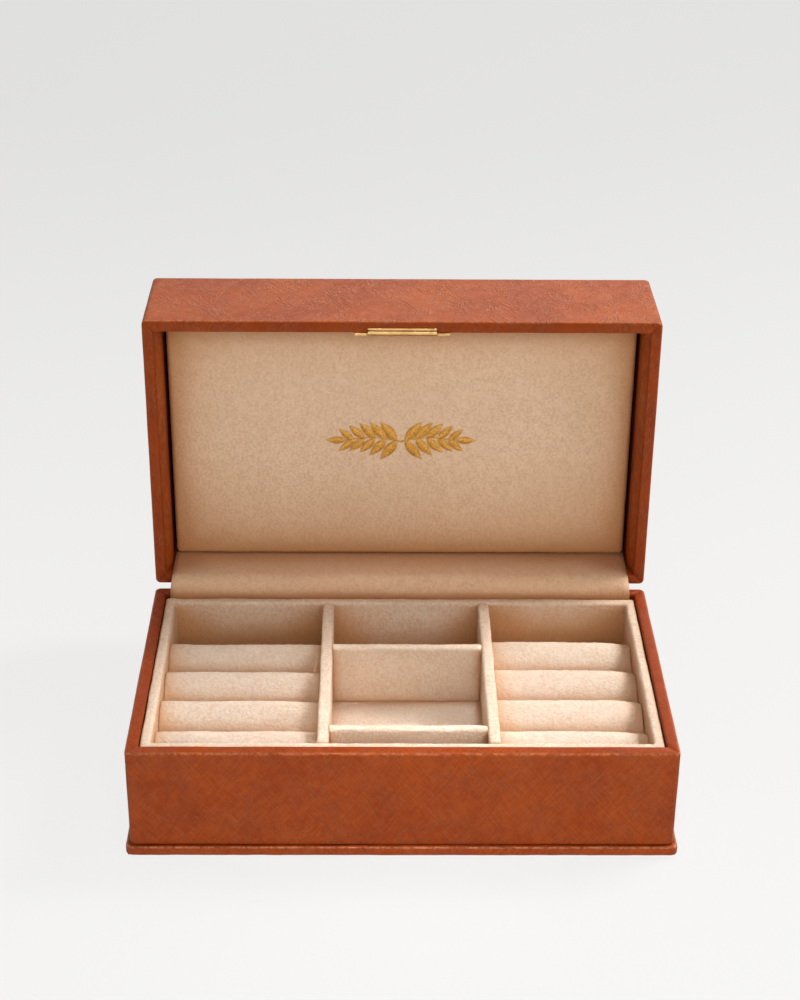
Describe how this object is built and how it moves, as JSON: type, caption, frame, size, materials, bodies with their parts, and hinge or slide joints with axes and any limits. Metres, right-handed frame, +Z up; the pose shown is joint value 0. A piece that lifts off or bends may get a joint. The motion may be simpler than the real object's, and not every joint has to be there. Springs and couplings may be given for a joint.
{
  "type": "leather jewellery case",
  "caption": "Rectangular leather-covered jewellery case with a hinged padded lid, a magnetic catch and a suede tray of open pockets and ring rolls.",
  "frame": {"origin": "centre of the case's underside, on the table", "axes": "+X to the right seen from the front, +Y to the back where the hinges are, +Z up"},
  "size_m": [0.2134, 0.1729, 0.1712],
  "materials": {
    "leather": "cognac calf leather with a fine grain and light creases, satin",
    "tray_suede": "cream microsuede with a short nap",
    "roll_suede": "cream microsuede over foam",
    "pad_suede": "tan microsuede over foam",
    "lining_suede": "tan microsuede sheet",
    "felt": "dark brown felt",
    "board": "raw fibreboard",
    "brass": "polished and lacquered",
    "magnet": "nickel plated"
  },
  "bodies": {
    "base": {"base_felt": "felt", "plinth_board": "board", "plinth_leather": "leather", "base_front_board": "board", "base_back_board": "board", "base_left_board": "board", "base_right_board": "board", "base_leather": "leather", "catch_magnet": "magnet", "tray_supports": "board", "tray_floor": "tray_suede", "tray_front_wall": "tray_suede", "tray_back_wall": "tray_suede", "tray_left_wall": "tray_suede", "tray_right_wall": "tray_suede", "left_divider": "tray_suede", "right_divider": "tray_suede", "rear_cross_divider": "tray_suede", "front_cross_divider": "tray_suede", "left_ring_roll_1": "roll_suede", "left_ring_roll_2": "roll_suede", "left_ring_roll_3": "roll_suede", "left_ring_roll_4": "roll_suede", "right_ring_roll_1": "roll_suede", "right_ring_roll_2": "roll_suede", "right_ring_roll_3": "roll_suede", "right_ring_roll_4": "roll_suede", "lining_base_flap": "lining_suede", "hinge_lining": "lining_suede", "left_hinge_base_leaf": "brass", "right_hinge_base_leaf": "brass", "left_hinge_pin": "brass", "right_hinge_pin": "brass", "hinge_base_screws": "brass"},
    "lid": {"lid_top_board": "board", "lid_front_board": "board", "lid_back_board": "board", "lid_left_board": "board", "lid_right_board": "board", "lid_leather": "leather", "lid_pad_supports": "board", "lid_pad_card": "board", "lid_pad": "pad_suede", "lining_lid_flap": "lining_suede", "left_hinge_lid_leaf": "brass", "right_hinge_lid_leaf": "brass", "hinge_lid_screws": "brass", "catch_plate": "brass", "strike_bar": "brass", "catch_screws": "brass"}
  },
  "joints": [
    {"name": "lid_hinge", "type": "hinge", "parent": "base", "child": "lid", "pos_m": [0, 0.062, 0.0482], "axis": [-1, 0, 0], "range_deg": [-90, 0], "deforming": ["hinge_lining"]}
  ]
}
